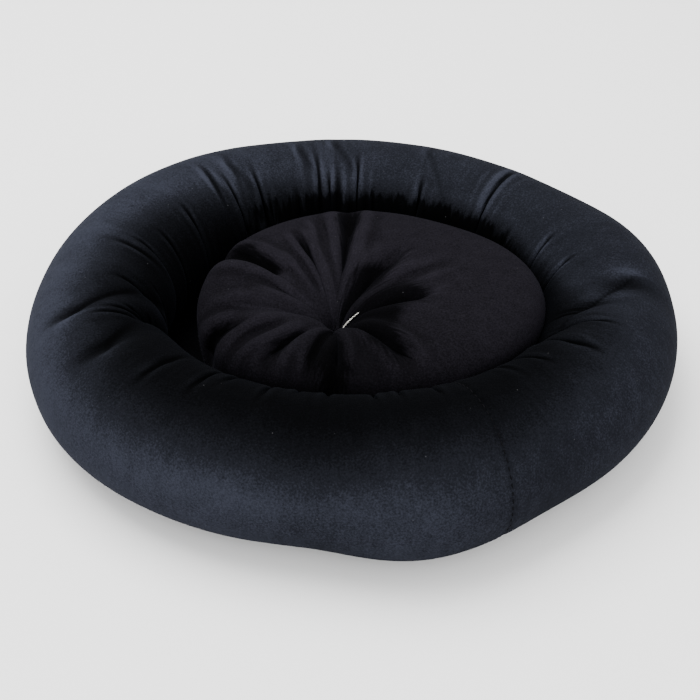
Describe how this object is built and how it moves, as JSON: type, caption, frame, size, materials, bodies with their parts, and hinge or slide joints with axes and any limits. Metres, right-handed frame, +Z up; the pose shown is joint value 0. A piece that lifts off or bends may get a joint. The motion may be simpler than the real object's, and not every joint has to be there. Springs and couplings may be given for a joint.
{
  "type": "pet cushion bed",
  "caption": "Oval pet bed: a stuffed velvet bolster ring, gathered on its inner side, round a thin floor, with a loose tufted cushion lying in the nest.",
  "frame": {"origin": "middle of the underside, on the surface that the bed stands on", "axes": "+X along the bed's longer side, to the right seen from the front; +Y from the front, where the bolster's joining seam is, to the back; +Z up"},
  "size_m": [0.6, 0.5448, 0.1245],
  "materials": {
    "bolster_velvet": "plush velvet, brushed pile",
    "cushion_velvet": "plush velvet, brushed pile",
    "floor_velvet": "plush velvet, flat",
    "base_cloth": "plain woven, matt",
    "wadding": "soft matt",
    "fibre_filling": "loose fibre, matt",
    "seam_thread": "twisted, matt",
    "tuft_thread": "twisted, matt"
  },
  "bodies": {
    "bed": {"base_panel": "base_cloth", "floor_wadding": "wadding", "floor_panel": "floor_velvet", "bolster_filling": "fibre_filling", "bolster_cover": "bolster_velvet", "bolster_joint_stitches": "seam_thread", "gathering_thread": "seam_thread", "base_edge_seam": "seam_thread"},
    "cushion": {"cushion_filling": "fibre_filling", "cushion_bottom_panel": "cushion_velvet", "cushion_top_panel": "cushion_velvet", "cushion_rim_seam": "seam_thread", "cushion_closing_stitches": "seam_thread", "tuft_thread": "tuft_thread", "tuft_knot": "tuft_thread"}
  },
  "joints": [
    {"name": "cushion_lift", "type": "slide", "parent": "bed", "child": "cushion", "axis": [0, 0, 1], "range_m": [0, 0.25]}
  ]
}
